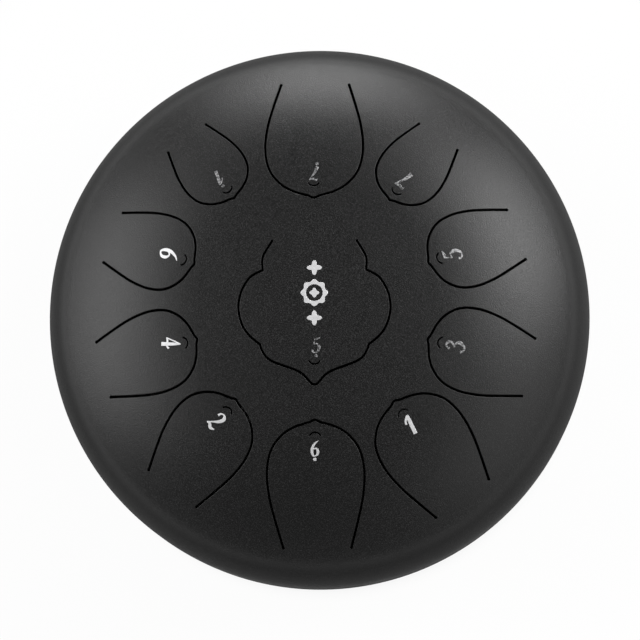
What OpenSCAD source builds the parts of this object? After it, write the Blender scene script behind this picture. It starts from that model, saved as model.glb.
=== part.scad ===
// Steel tongue drum, 10 inch class, eleven notes.
// Origin on the floor under the middle of the drum, +Z up.
// +Y points to the side where the middle tongue is rooted.

/* [Shells] */
// Outer diameter of the drum
drum_diameter = 254; // [248:1:266]
// Radius of the middle of the playing dome
dome_radius = 450; // [400:5:520]
// Distance from the middle where the dome starts to fall faster
dome_reach = 55; // [50:0.5:62]
// Radius of the falling part round the dome
shoulder_radius = 110; // [104:0.5:118]
// Radius that rounds the shoulder into the side
edge_radius = 38; // [35:0.5:41]
// Height of the straight side, between shoulder and base corner
side_height = 20; // [18:0.5:24]
// Part of the side that the upper shell covers
skirt_depth = 12; // [10:0.5:14]
// Radius that rounds the side into the flat base
base_radius = 60; // [54:1:63]
// Wall of the upper shell and its tongues
upper_wall = 1.5; // [1.2:0.1:1.8]
// Wall of the lower shell
lower_wall = 1.2; // [1:0.1:1.6]

/* [Seam] */
// Height of the lip that stands up inside the skirt
lip_height = 8; // [5:0.5:10]
// Radial clearance between the lip and the skirt
lip_clearance = 0.1; // [0.05:0.05:0.2]
// Height of the weld ring between the two shells
weld_height = 1; // [0.6:0.1:2]
// Depth of the weld ring below the face of the side
weld_recess = 0.2; // [0.1:0.05:0.4]

/* [Sound hole] */
// Width of the flat ring of the base, from the sound hole to the rounded corner
base_ring_width = 37; // [33:0.5:41]
// Height of the turned-in collar round the sound hole
collar_height = 4; // [2:0.5:8]

/* [Feet] */
// Distance from the outer edge of that flat ring to the middle of a foot
foot_inset = 13; // [11:0.5:17]
// Height of a rubber foot, which is the clearance under the base
foot_height = 9; // [8:0.5:12]
// Radius of a foot where it stands
foot_radius = 9; // [8:0.1:10]
// Extra radius of a foot where it meets the base
foot_flare = 1; // [0.5:0.1:1.5]
// Radius of the recess for the screw head
foot_recess_radius = 4.9; // [4.7:0.1:5.5]
// Depth of that recess
foot_recess_depth = 4.6; // [4.2:0.1:5.5]

/* [Foot screws] */
// Radius of the screw
screw_radius = 2; // [1.5:0.1:2.2]
// Radial clearance round the screw
screw_clearance = 0.2; // [0.1:0.05:0.3]
// Radius of the screw head
head_radius = 3.9; // [3.5:0.1:4.2]
// Height of the screw head
head_height = 2.4; // [2:0.1:3]
// Length of screw that shows past the nut
screw_end = 1.2; // [0.5:0.1:2]
// Width of a slot of the cross in the screw head
cross_width = 0.9; // [0.6:0.1:1.2]
// Length of a slot of the cross
cross_length = 4.4; // [3:0.1:5]
// Depth of the cross
cross_depth = 1.2; // [0.8:0.1:1.5]
// Radius of a washer
washer_radius = 4.5; // [4.3:0.1:4.6]
// Thickness of a washer
washer_height = 0.8; // [0.5:0.1:1]
// Width of the nut across its flats
nut_flats = 7; // [6:0.1:8]
// Height of the nut
nut_height = 3.2; // [2:0.1:4]
// Radial clearance of the nut on the screw
nut_clearance = 0.03; // [0.02:0.01:0.1]

/* [Slits] */
// Width of the slits round the tongues
slit_width = 1.1; // [0.7:0.05:1.3]
// Radius of the round end of a slit
slit_end_radius = 0.66; // [0.6:0.02:0.8]
// Relief at the root of a tongue
root_gap = 0.1; // [0.05:0.01:0.2]
// Width of the small arc slot near a nib
arc_slot_width = 0.7; // [0.4:0.05:0.8]
// Radius of the arc slot's middle line
arc_slot_radius = 2.8; // [2.5:0.05:3.2]
// Half of the angle that the arc slot turns through
arc_slot_angle = 60; // [45:1:70]

/* [Tongue lengths, nib to root] */
// Low 5, the middle tongue
low_5_length = 65.5; // [62:0.5:68]
// Low 6
low_6_length = 56.4; // [53:0.1:58]
// Low 7
low_7_length = 56.3; // [52:0.1:58]
// Note 1
note_1_length = 52.4; // [49:0.1:54]
// Note 2
note_2_length = 49; // [45:0.1:52]
// Note 3
note_3_length = 47.2; // [44:0.1:52]
// Note 4
note_4_length = 45.6; // [41:0.1:50]
// Note 5
note_5_length = 43; // [39:0.1:50]
// Note 6
note_6_length = 41.2; // [38:0.1:48]
// Note 7
note_7_length = 38.6; // [35:0.1:44]
// High 1
high_1_length = 37.9; // [34:0.1:42]

/* [Tongue widths, at the widest] */
// Low 5, the middle tongue
low_5_width = 69; // [66:0.5:72]
// Low 6
low_6_width = 44; // [42:0.1:46]
// Low 7
low_7_width = 44.6; // [42:0.1:46]
// Note 1
note_1_width = 42.3; // [40:0.1:44]
// Note 2
note_2_width = 39.2; // [38:0.1:41]
// Note 3
note_3_width = 38.3; // [36:0.1:40]
// Note 4
note_4_width = 37.1; // [35:0.1:39]
// Note 5
note_5_width = 34.6; // [33:0.1:37]
// Note 6
note_6_width = 34.8; // [33:0.1:37]
// Note 7
note_7_width = 30.5; // [29:0.1:33]
// High 1
high_1_width = 30.9; // [29:0.1:33]

/* [Numerals] */
// Height of a numeral without a dot
numeral_height = 9.2; // [7:0.1:10]
// Height of a numeral that has an octave dot
dotted_height = 7.3; // [6:0.1:8]
// Height of the numeral on the middle tongue
middle_height = 7.2; // [6:0.1:9]
// Radius of an octave dot
dot_radius = 0.75; // [0.5:0.05:1]
// Space between a numeral and its dot
dot_gap = 0.3; // [0.2:0.05:1]
// Space between the arc slot and the numeral
numeral_gap = 3.2; // [2.5:0.1:4]
// Thickness of the metal that numerals and ornament are made of
inlay_height = 0.15; // [0.1:0.01:0.25]
// Film of glue under numerals and ornament
glue_height = 0.03; // [0.02:0.01:0.05]

/* [Ornament] */
// Radius of the rosette on the middle tongue
rosette_radius = 6.2; // [5:0.1:7]
// Radius of the two small stars beside the rosette
star_radius = 3.4; // [2.5:0.1:4]
// Distance from the rosette to each star
star_pitch = 11.5; // [10.8:0.1:12.5]

/* [Hidden] */
$fn = 160;

shell_colour = [0.12, 0.12, 0.125];
tongue_colour = [0.2, 0.2, 0.21];
silver_colour = [0.82, 0.83, 0.84];
rubber_colour = [0.06, 0.06, 0.06];
steel_colour = [0.6, 0.61, 0.63];

// Every cut runs this far past the face that it leaves
overrun = 2;

drum_radius = drum_diameter / 2;
edge_centre = drum_radius - edge_radius;
base_top = foot_height + lower_wall;
corner_top = foot_height + base_radius;
side_top = corner_top + side_height;
skirt_bottom = side_top - skirt_depth;
weld_bottom = skirt_bottom - weld_height;
base_flat_radius = drum_radius - base_radius;
sound_hole_radius = base_flat_radius - base_ring_width;
foot_circle_radius = base_flat_radius - foot_inset;

// Dome, shoulder and edge touch on rays that lean by these angles
dome_angle = asin(dome_reach / dome_radius);
shoulder_centre = dome_reach - shoulder_radius * sin(dome_angle);
shoulder_angle = asin((edge_centre - shoulder_centre) / (shoulder_radius - edge_radius));
shoulder_level = side_top - (shoulder_radius - edge_radius) * cos(shoulder_angle);
dome_level = shoulder_level - (dome_radius - shoulder_radius) * cos(dome_angle);
crest = dome_level + dome_radius;
cut_height = crest + overrun;

lip_outer = drum_radius - upper_wall - lip_clearance;
lip_top = skirt_bottom + lip_height;
foot_angles = [-45, 45, 135, -135];

// Outlines are half outlines: first number across, second along, from nib to root.
// Across they are shares of half the width, along they are shares of the length.
petal_shares = [
    [0, 0], [0.04, 0.004], [0.11, 0.018], [0.22, 0.03], [0.42, 0.055], [0.65, 0.108],
    [0.86, 0.2], [0.968, 0.308], [1.005, 0.45], [0.96, 0.62], [0.858, 0.788], [0.708, 1]
];
middle_tip_shares = [
    [0, 0], [0.03, 0.004], [0.07, 0.024], [0.145, 0.068], [0.25, 0.1],
    [0.4, 0.129], [0.55, 0.16], [0.64, 0.196], [0.695, 0.245], [0.713, 0.277]
];
middle_lobe_shares = [
    [0.713, 0.277], [0.855, 0.341], [0.953, 0.42], [1, 0.535],
    [0.964, 0.645], [0.872, 0.732], [0.79, 0.768], [0.68, 0.797]
];
middle_neck_shares = [[0.68, 0.797], [0.688, 0.85], [0.678, 0.89], [0.647, 0.925], [0.56, 1]];

// One place in each of these lists for the low 5, low 6, low 7, 1 to 7 and high 1 tongues.
// The nib's distance from the middle and its step sideways are shares of the drum's radius.
nib_shares = [0.298, 0.423, 0.376, 0.453, 0.449, 0.423, 0.443, 0.427, 0.456, 0.454, 0.478];
side_shares = [-0.003, 0.002, -0.006, -0.017, 0.024, 0.006, 0.005, -0.009, -0.002, 0, -0.014];
tongue_angles = [90, -90, 90, -54, -126, -18, -162, 18, 162, 54, 126];
tongue_turns = [0, 0.4, 0, 0, -1.8, 4.6, -3, 2.2, -2.9, 1, 0.8];
tongue_lengths = [
    low_5_length, low_6_length, low_7_length, note_1_length, note_2_length, note_3_length,
    note_4_length, note_5_length, note_6_length, note_7_length, high_1_length
];
tongue_widths = [
    low_5_width, low_6_width, low_7_width, note_1_width, note_2_width, note_3_width,
    note_4_width, note_5_width, note_6_width, note_7_width, high_1_width
];
last_tongue = len(tongue_lengths) - 1;

// The bulge of the arc slot lies this share of the tongue's length from the nib
arc_slot_share = 0.1;
middle_arc_slot_share = 0.14;
// The ornament's middle lies this share of the middle tongue's length from the nib
ornament_share = 0.635;

// Numerals sit a little off the straight: turned to the left in degrees, moved across and out as shares of their height
numeral_turns = [0, 0, -12, 0, -18, 0, -10, -8, 5, -6, -8];
numeral_moves = [[0.084, -0.015], [0.025, 0.049], [0.05, -0.119], [0.012, -0.009], [0.127, 0.03], [-0.01, 0.043], [0.225, -0.04], [0.038, -0.04], [0.06, 0.092], [0, 0], [0, 0]];
// Numerals are strokes: across, up and width, as shares of the numeral's height
one_shares = [
    [[0.42, 0.98, 0.1], [0.38, 0.8, 0.17], [0.31, 0.45, 0.19], [0.24, 0.02, 0.2]],
    [[0.42, 0.98, 0.06], [0.3, 0.89, 0.09], [0.17, 0.76, 0.1], [0.12, 0.62, 0.1]]
];
two_shares = [
    [[0.12, 0.72, 0.12], [0.14, 0.87, 0.09], [0.29, 0.96, 0.08], [0.45, 0.84, 0.17],
     [0.41, 0.6, 0.16], [0.24, 0.36, 0.08], [0.04, 0.1, 0.05]],
    [[0.04, 0.1, 0.05], [0.2, 0.15, 0.13], [0.38, 0.06, 0.15], [0.57, 0.16, 0.05]]
];
three_shares = [
    [[0.11, 0.76, 0.12], [0.15, 0.9, 0.08], [0.31, 0.96, 0.09], [0.44, 0.82, 0.16],
     [0.37, 0.64, 0.09], [0.22, 0.55, 0.05]],
    [[0.22, 0.55, 0.05], [0.42, 0.51, 0.09], [0.5, 0.31, 0.18], [0.35, 0.07, 0.1],
     [0.14, 0.08, 0.08], [0.07, 0.22, 0.12]]
];
four_shares = [
    [[0.45, 0.98, 0.06], [0.42, 0.75, 0.13], [0.38, 0.4, 0.17], [0.33, 0.02, 0.19]],
    [[0.44, 0.97, 0.05], [0.26, 0.66, 0.06], [0.06, 0.31, 0.06]],
    [[0.04, 0.31, 0.05], [0.22, 0.34, 0.1], [0.44, 0.28, 0.08], [0.6, 0.37, 0.1]]
];
five_shares = [
    [[0.22, 0.94, 0.05], [0.34, 0.91, 0.13], [0.48, 0.95, 0.1], [0.57, 1, 0.04]],
    [[0.23, 0.96, 0.06], [0.2, 0.75, 0.06], [0.16, 0.55, 0.05]],
    [[0.16, 0.55, 0.05], [0.34, 0.61, 0.08], [0.49, 0.42, 0.17], [0.42, 0.14, 0.13],
     [0.23, 0.04, 0.08], [0.08, 0.12, 0.1], [0.08, 0.24, 0.13]]
];
six_shares = [
    [[0.54, 0.98, 0.03], [0.34, 0.84, 0.1], [0.17, 0.58, 0.16], [0.13, 0.3, 0.17],
     [0.21, 0.08, 0.11], [0.34, 0.05, 0.08]],
    [[0.34, 0.05, 0.08], [0.48, 0.18, 0.14], [0.49, 0.38, 0.15], [0.36, 0.52, 0.08],
     [0.21, 0.45, 0.06], [0.13, 0.32, 0.05]]
];
seven_shares = [
    [[0.05, 0.78, 0.04], [0.13, 0.91, 0.12], [0.3, 0.86, 0.13], [0.46, 0.92, 0.09], [0.56, 0.97, 0.05]],
    [[0.55, 0.97, 0.05], [0.42, 0.68, 0.09], [0.3, 0.36, 0.15], [0.24, 0.02, 0.22]]
];
digit_shares = [one_shares, two_shares, three_shares, four_shares, five_shares, six_shares, seven_shares];
// The digit's middle and its dot lie this share of its height to the right of its corner
digit_middle_share = 0.3;

// Curve through all points of a list, with a few steps between each two
curve_steps = 3;

function end_point(a, b) = 2 * a - b;
function curve_point(a, b, c, d, t) =
    (2 * b + (c - a) * t + (2 * a - 5 * b + 4 * c - d) * pow(t, 2) + (3 * b - a - 3 * c + d) * pow(t, 3)) / 2;
function curve(list) =
    let (
        last = len(list) - 1,
        long = concat([end_point(list[0], list[1])], list, [end_point(list[last], list[last - 1])])
    )
    concat(
        [for (i = [0:last - 1]) for (k = [0:curve_steps - 1])
            curve_point(long[i], long[i + 1], long[i + 2], long[i + 3], k / curve_steps)],
        [list[last]]
    );
function without_last(list) = [for (i = [0:len(list) - 2]) list[i]];
function flipped(half) = [for (i = [len(half) - 1:-1:0]) [-half[i].x, half[i].y]];
function whole(half) = concat(without_last(flipped(half)), half);

middle_half_shares = concat(
    without_last(curve(middle_tip_shares)),
    without_last(curve(middle_lobe_shares)),
    curve(middle_neck_shares)
);
petal_half_shares = curve(petal_shares);

// Middle line of the slit round tongue k
function slit_line(k) =
    [for (p = k == 0 ? middle_half_shares : petal_half_shares) [p.x * tongue_widths[k] / 2, p.y * tongue_lengths[k]]];

// A half outline moved outwards by d, with its nib on the axis and its end on the root line
function side_normal(a, b) = [b.y - a.y, a.x - b.x] / norm(b - a);
function corner_shift(m, n, d) = (m + n) * d / (1 + m * n);
function moved(half, d) =
    let (
        last = len(half) - 1,
        n = [for (i = [0:last - 1]) side_normal(half[i], half[i + 1])]
    )
    [for (i = [0:last])
        half[i] + (i == 0 ? [0, d / n[0].y] : i == last ? [d / n[last - 1].x, 0] : corner_shift(n[i - 1], n[i], d))];
function short_root(half) =
    [for (i = [0:len(half) - 1]) i == len(half) - 1 ? half[i] - [0, root_gap] : half[i]];

// Part of a round face up to the ray that leans by the given angle
module cap(centre, radius, inset, angle) {
    translate(centre) intersection() {
        circle(radius - inset);
        polygon([[0, 0], [0, 2 * radius], 2 * radius * [sin(angle), cos(angle)]]);
    }
}

// Two-dimensional section under the outer face, moved in by inset and cut off at low
module section(inset, low) {
    intersection() {
        union() {
            cap([0, dome_level], dome_radius, inset, dome_angle);
            cap([shoulder_centre, shoulder_level], shoulder_radius, inset, shoulder_angle);
            translate([edge_centre, side_top]) circle(edge_radius - inset);
            translate([0, low]) square([drum_radius - inset, side_top - low]);
        }
        translate([0, low]) square([drum_diameter, cut_height]);
    }
}

// Layer of the given wall that follows the outer face, from low up to the crest
module layer(inset, wall, low) {
    rotate_extrude() difference() {
        section(inset, low);
        section(inset + wall, low - overrun);
    }
}

// Puts what is drawn along a tongue, from its nib, at its place on the dome
module on_tongue(k) {
    along = k == 0 ? -1 : 1;
    rotate([0, 0, tongue_angles[k] - 90])
        translate([side_shares[k] * drum_radius, along * nib_shares[k] * drum_radius, 0])
        rotate([0, 0, tongue_turns[k]])
        children();
}

module slit_ends(k) {
    end = slit_line(k)[len(slit_line(k)) - 1];
    for (side = [-1, 1]) translate([side * end.x, end.y, 0]) cylinder(h = cut_height, r = slit_end_radius);
}

function arc_slot_place(k) = (k == 0 ? middle_arc_slot_share : arc_slot_share) * tongue_lengths[k];

module arc_slot(k) {
    steps = 8;
    inner = arc_slot_radius - arc_slot_width / 2;
    outer = arc_slot_radius + arc_slot_width / 2;
    turns = [for (i = [0:steps]) arc_slot_angle * (2 * i / steps - 1)];
    translate([0, arc_slot_place(k) + arc_slot_radius, 0]) linear_extrude(cut_height) polygon(concat(
        [for (a = turns) outer * [sin(a), -cos(a)]],
        [for (i = [steps:-1:0]) inner * [sin(turns[i]), -cos(turns[i])]]
    ));
}

module upper_shell() {
    color(shell_colour) difference() {
        layer(0, upper_wall, skirt_bottom);
        for (k = [0:last_tongue]) on_tongue(k) {
            linear_extrude(cut_height) polygon(whole(moved(slit_line(k), slit_width / 2)));
            slit_ends(k);
        }
    }
}

module tongue(k) {
    color(tongue_colour) difference() {
        intersection() {
            layer(0, upper_wall, skirt_bottom);
            on_tongue(k) linear_extrude(cut_height) polygon(whole(short_root(moved(slit_line(k), -slit_width / 2))));
        }
        on_tongue(k) slit_ends(k);
        on_tongue(k) arc_slot(k);
    }
}

module tongue_low_5() { tongue(0); }
module tongue_low_6() { tongue(1); }
module tongue_low_7() { tongue(2); }
module tongue_1() { tongue(3); }
module tongue_2() { tongue(4); }
module tongue_3() { tongue(5); }
module tongue_4() { tongue(6); }
module tongue_5() { tongue(7); }
module tongue_6() { tongue(8); }
module tongue_7() { tongue(9); }
module tongue_high_1() { tongue(10); }

// Flat outline of one stroke, whose points are across, up and width
module stroke(shares, height) {
    line = curve(shares);
    last = len(line) - 1;
    edge = [for (i = [0:last])
        let (
            a = line[max(i - 1, 0)],
            b = line[min(i + 1, last)],
            along = [b.x - a.x, b.y - a.y] / norm([b.x - a.x, b.y - a.y])
        )
        [-along.y, along.x] * line[i].z / 2];
    polygon(height * concat(
        [for (i = [0:last]) [line[i].x, line[i].y] + edge[i]],
        [for (i = [last:-1:0]) [line[i].x, line[i].y] - edge[i]]
    ));
}

module inlay_layer() {
    layer(-glue_height - inlay_height, inlay_height, skirt_bottom);
}

// A digit with its foot on y = 0 and its middle on x = 0; octave is -1, 0 or 1
module numeral_outline(digit, height, octave) {
    translate([-digit_middle_share * height, 0]) for (shares = digit_shares[digit - 1]) stroke(shares, height);
    if (octave < 0) translate([0, -dot_gap - dot_radius]) circle(dot_radius);
    if (octave > 0) translate([0, height + dot_gap + dot_radius]) circle(dot_radius);
}

// Numeral on tongue k: its top faces the drum's middle
module numeral(k, digit, height, octave) {
    dot_space = dot_gap + 2 * dot_radius;
    near = arc_slot_place(k) + numeral_gap;
    foot = k == 0 ? near + dot_space : near + height + max(octave, 0) * dot_space;
    color(silver_colour) intersection() {
        inlay_layer();
        on_tongue(k) translate([0, foot, 0] + numeral_height * [numeral_moves[k].x, numeral_moves[k].y, 0])
            rotate([0, 0, k == 0 ? 0 : 180])
            translate([0, height / 2, 0]) rotate([0, 0, numeral_turns[k]]) translate([0, -height / 2, 0])
            linear_extrude(cut_height) numeral_outline(digit, height, octave);
    }
}

module numeral_low_5() { numeral(0, 5, middle_height, -1); }
module numeral_low_6() { numeral(1, 6, dotted_height, -1); }
module numeral_low_7() { numeral(2, 7, dotted_height, -1); }
module numeral_1() { numeral(3, 1, numeral_height, 0); }
module numeral_2() { numeral(4, 2, numeral_height, 0); }
module numeral_3() { numeral(5, 3, numeral_height, 0); }
module numeral_4() { numeral(6, 4, numeral_height, 0); }
module numeral_5() { numeral(7, 5, numeral_height, 0); }
module numeral_6() { numeral(8, 6, numeral_height, 0); }
module numeral_7() { numeral(9, 7, numeral_height, 0); }
module numeral_high_1() { numeral(10, 1, dotted_height, 1); }

// Round outline with petals: the depth is a share of the radius
petal_depth_share = 0.16;
star_depth_share = 0.34;
ring_share = 0.62;
core_share = 0.36;
rosette_petals = 8;
star_points = 4;
function petalled(radius, petals, depth) =
    [for (i = [0:6 * petals - 1]) let (a = 60 * i / petals)
        radius * (1 - depth * (1 - cos(petals * a)) / 2) * [sin(a), cos(a)]];

module middle_ornament() {
    color(silver_colour) intersection() {
        inlay_layer();
        on_tongue(0) translate([0, ornament_share * low_5_length, 0]) linear_extrude(cut_height) {
            difference() {
                polygon(petalled(rosette_radius, rosette_petals, petal_depth_share));
                circle(ring_share * rosette_radius);
            }
            polygon(petalled(core_share * rosette_radius, star_points, star_depth_share));
            for (side = [-1, 1]) translate([0, side * star_pitch])
                polygon(petalled(star_radius, star_points, star_depth_share + petal_depth_share));
        }
    }
}

module at_feet() {
    for (a = foot_angles) rotate([0, 0, a]) translate([foot_circle_radius, 0, 0]) children();
}

module lower_shell() {
    color(shell_colour) difference() {
        rotate_extrude() {
            translate([base_flat_radius, corner_top]) intersection() {
                difference() {
                    circle(base_radius);
                    circle(base_radius - lower_wall);
                }
                translate([0, -base_radius]) square(base_radius);
            }
            translate([sound_hole_radius, foot_height])
                square([base_ring_width, lower_wall]);
            translate([sound_hole_radius, foot_height]) square([lower_wall, collar_height]);
            polygon([
                [drum_radius, corner_top],
                [drum_radius, weld_bottom],
                [lip_outer, weld_bottom],
                [lip_outer, lip_top],
                [lip_outer - lower_wall, lip_top],
                [lip_outer - lower_wall, weld_bottom - lower_wall / 2],
                [drum_radius - lower_wall, weld_bottom - lower_wall - upper_wall],
                [drum_radius - lower_wall, corner_top]
            ]);
        }
        at_feet() cylinder(h = base_top + overrun, r = screw_radius + screw_clearance);
    }
}

module seam_weld() {
    color(shell_colour) translate([0, 0, weld_bottom]) difference() {
        cylinder(h = weld_height, r = drum_radius - weld_recess);
        translate([0, 0, -overrun]) cylinder(h = weld_height + 2 * overrun, r = lip_outer);
    }
}

module foot(angle) {
    color(rubber_colour) rotate([0, 0, angle]) translate([foot_circle_radius, 0, 0]) difference() {
        cylinder(h = foot_height, r1 = foot_radius, r2 = foot_radius + foot_flare);
        translate([0, 0, -overrun]) cylinder(h = foot_height + 2 * overrun, r = screw_radius + screw_clearance);
        translate([0, 0, -overrun]) cylinder(h = foot_recess_depth + overrun, r = foot_recess_radius);
    }
}

module foot_front_right() { foot(foot_angles[0]); }
module foot_back_right() { foot(foot_angles[1]); }
module foot_back_left() { foot(foot_angles[2]); }
module foot_front_left() { foot(foot_angles[3]); }

washer_bottom = foot_recess_depth - washer_height;
nut_bottom = base_top + washer_height;
screw_top = nut_bottom + nut_height + screw_end;

module foot_screws() {
    color(steel_colour) at_feet() difference() {
        union() {
            translate([0, 0, washer_bottom - head_height]) cylinder(h = head_height, r = head_radius);
            translate([0, 0, washer_bottom]) cylinder(h = screw_top - washer_bottom, r = screw_radius);
        }
        for (a = [0, 90]) rotate([0, 0, a])
            translate([-cross_length / 2, -cross_width / 2, washer_bottom - head_height - overrun])
            cube([cross_length, cross_width, cross_depth + overrun]);
    }
}

module washer() {
    difference() {
        cylinder(h = washer_height, r = washer_radius);
        translate([0, 0, -overrun]) cylinder(h = washer_height + 2 * overrun, r = screw_radius + screw_clearance);
    }
}

module foot_head_washers() {
    color(steel_colour) at_feet() translate([0, 0, washer_bottom]) washer();
}

module foot_inner_washers() {
    color(steel_colour) at_feet() translate([0, 0, base_top]) washer();
}

module foot_nuts() {
    color(steel_colour) at_feet() translate([0, 0, nut_bottom]) difference() {
        cylinder(h = nut_height, r = nut_flats / 2 / cos(30), $fn = 6);
        translate([0, 0, -overrun]) cylinder(h = nut_height + 2 * overrun, r = screw_radius + nut_clearance);
    }
}

upper_shell();
lower_shell();
seam_weld();
foot_front_right();
foot_back_right();
foot_back_left();
foot_front_left();
foot_screws();
foot_head_washers();
foot_inner_washers();
foot_nuts();
tongue_low_5();
tongue_low_6();
tongue_low_7();
tongue_1();
tongue_2();
tongue_3();
tongue_4();
tongue_5();
tongue_6();
tongue_7();
tongue_high_1();
numeral_low_5();
numeral_low_6();
numeral_low_7();
numeral_1();
numeral_2();
numeral_3();
numeral_4();
numeral_5();
numeral_6();
numeral_7();
numeral_high_1();
middle_ornament();
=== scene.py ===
from math import asin, atan2, cos, degrees, hypot, pi, radians, sin, sqrt

import bmesh
import bpy
from mathutils import Matrix, Vector


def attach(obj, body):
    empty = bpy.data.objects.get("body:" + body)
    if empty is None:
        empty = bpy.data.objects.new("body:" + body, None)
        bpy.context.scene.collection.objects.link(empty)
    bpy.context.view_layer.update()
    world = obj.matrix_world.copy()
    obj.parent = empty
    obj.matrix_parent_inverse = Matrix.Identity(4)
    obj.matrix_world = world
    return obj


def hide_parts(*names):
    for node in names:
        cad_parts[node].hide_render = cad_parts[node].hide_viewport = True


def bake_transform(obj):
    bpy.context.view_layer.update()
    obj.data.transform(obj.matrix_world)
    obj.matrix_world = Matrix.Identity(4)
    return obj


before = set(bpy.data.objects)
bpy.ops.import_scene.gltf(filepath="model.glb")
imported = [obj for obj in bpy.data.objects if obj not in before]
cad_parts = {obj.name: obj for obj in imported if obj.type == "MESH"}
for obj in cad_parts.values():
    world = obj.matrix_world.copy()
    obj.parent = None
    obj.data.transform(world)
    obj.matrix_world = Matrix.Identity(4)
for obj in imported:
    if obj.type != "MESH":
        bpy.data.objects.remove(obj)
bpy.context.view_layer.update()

mm = 0.001
scene = bpy.context.scene

# the photograph's view, from nearly straight above
camera = {
    "target": (0, 0, 89 * mm),
    "distance": 1500 * mm,
    "lean": (1.79, -7.35),       # degrees off the vertical, to the right and to the back
    "lens": 179.22,
    "sensor": 36,
    "shift": (0.00121, -0.00415),
    "clip": (0.05, 60),
}


def makeCamera(c):
    back = Vector((sin(radians(c["lean"][0])), sin(radians(c["lean"][1])), 0))
    back.z = sqrt(1 - back.length_squared)
    right = Vector((0, 1, 0)).cross(back).normalized()
    up = back.cross(right)
    data = bpy.data.cameras.new("camera")
    data.lens, data.sensor_width = c["lens"], c["sensor"]
    data.shift_x, data.shift_y = c["shift"]
    data.clip_start, data.clip_end = c["clip"]
    seen = bpy.data.objects.new("camera", data)
    turn = Matrix((right, up, back)).transposed().to_4x4()
    seen.matrix_world = Matrix.Translation(Vector(c["target"]) + back * c["distance"]) @ turn
    scene.collection.objects.link(seen)
    scene.camera = seen


makeCamera(camera)
print("camera ready")


# every pattern reads Object coordinates, so it stays on its piece at each pose
def newMaterial(name):
    made = bpy.data.materials.new(name)
    made.use_nodes = True
    nodes, links = made.node_tree.nodes, made.node_tree.links
    return made, nodes, links, nodes["Principled BSDF"]


def noise(nodes, links, place, scale, detail, roughness=0.5):
    made = nodes.new("ShaderNodeTexNoise")
    made.inputs["Scale"].default_value = scale
    made.inputs["Detail"].default_value = detail
    made.inputs["Roughness"].default_value = roughness
    links.new(place.outputs["Object"], made.inputs["Vector"])
    return made.outputs["Fac"]


def ranged(nodes, links, source, low, high, start=0.3, end=0.7, kind="LINEAR"):
    made = nodes.new("ShaderNodeMapRange")
    made.interpolation_type = kind
    made.inputs["From Min"].default_value = start
    made.inputs["From Max"].default_value = end
    made.inputs["To Min"].default_value = low
    made.inputs["To Max"].default_value = high
    links.new(source, made.inputs["Value"])
    return made.outputs["Result"]


def shade(nodes, links, source, dark, light, start=0.3, end=0.7):
    made = nodes.new("ShaderNodeValToRGB")
    made.color_ramp.elements[0].position = start
    made.color_ramp.elements[0].color = (*dark, 1)
    made.color_ramp.elements[1].position = end
    made.color_ramp.elements[1].color = (*light, 1)
    links.new(source, made.inputs["Fac"])
    return made.outputs["Color"]


def multiplied(nodes, links, first, second):
    made = nodes.new("ShaderNodeMix")
    made.data_type, made.blend_type = "RGBA", "MULTIPLY"
    made.inputs["Factor"].default_value = 1
    links.new(first, made.inputs["A"])
    links.new(second, made.inputs["B"])
    return made.outputs["Result"]


def maths(nodes, links, kind, first, second):
    made = nodes.new("ShaderNodeMath")
    made.operation = kind
    links.new(first, made.inputs[0])
    if isinstance(second, float):
        made.inputs[1].default_value = second
    else:
        links.new(second, made.inputs[1])
    return made.outputs[0]


def lengthOf(nodes, links, source):
    made = nodes.new("ShaderNodeVectorMath")
    made.operation = "LENGTH"
    links.new(source, made.inputs[0])
    return made.outputs["Value"]


def bumped(nodes, links, heights, target):
    last = None
    for source, strength, distance in heights:
        made = nodes.new("ShaderNodeBump")
        made.inputs["Strength"].default_value = strength
        made.inputs["Distance"].default_value = distance
        links.new(source, made.inputs["Height"])
        if last:
            links.new(last.outputs["Normal"], made.inputs["Normal"])
        last = made
    links.new(last.outputs["Normal"], target.inputs["Normal"])


# noise is given as scale, detail and roughness, a bump as strength and height
powder = {
    "dark": (0.0008, 0.0008, 0.0008), "light": (0.03, 0.03, 0.0305), "start": 0.5, "end": 0.74,
    "grain": (2000, 2.5, 0.6), "grainBump": (0.45, 0.3 * mm),
    "peel": (420, 1.5), "peelBump": (0.25, 0.06 * mm),
    "cloud": (22, 3), "cloudDark": (0.93, 0.93, 0.93), "cloudLight": (1, 1, 1),
    "roughness": (0.28, 0.48), "roughStart": 0.38, "roughEnd": 0.62, "specular": 0.455,
    "dry": 0.5, "dryStart": 116 * mm, "dryEnd": 122 * mm,   # coarser on the side, where the spray grazes it
}


def powderCoat(p):
    made, nodes, links, surface = newMaterial("powderCoat")
    place = nodes.new("ShaderNodeTexCoord")
    grain = noise(nodes, links, place, *p["grain"])
    peel = noise(nodes, links, place, *p["peel"])
    cloud = noise(nodes, links, place, *p["cloud"])
    colour = shade(nodes, links, grain, p["dark"], p["light"], p["start"], p["end"])
    soft = shade(nodes, links, cloud, p["cloudDark"], p["cloudLight"])
    links.new(multiplied(nodes, links, colour, soft), surface.inputs["Base Color"])
    flat = nodes.new("ShaderNodeVectorMath")
    flat.operation = "MULTIPLY"
    flat.inputs[1].default_value = (1, 1, 0)         # leaves the distance from the drum's axis
    links.new(place.outputs["Object"], flat.inputs[0])
    reach = lengthOf(nodes, links, flat.outputs["Vector"])
    dry = ranged(nodes, links, reach, 0, p["dry"], p["dryStart"], p["dryEnd"], "SMOOTHSTEP")
    rough = ranged(nodes, links, grain, *p["roughness"], p["roughStart"], p["roughEnd"])
    links.new(maths(nodes, links, "ADD", rough, dry), surface.inputs["Roughness"])
    surface.inputs["Specular IOR Level"].default_value = p["specular"]
    bumped(nodes, links, [(peel, *p["peelBump"]), (grain, *p["grainBump"])], surface)
    return made


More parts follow.
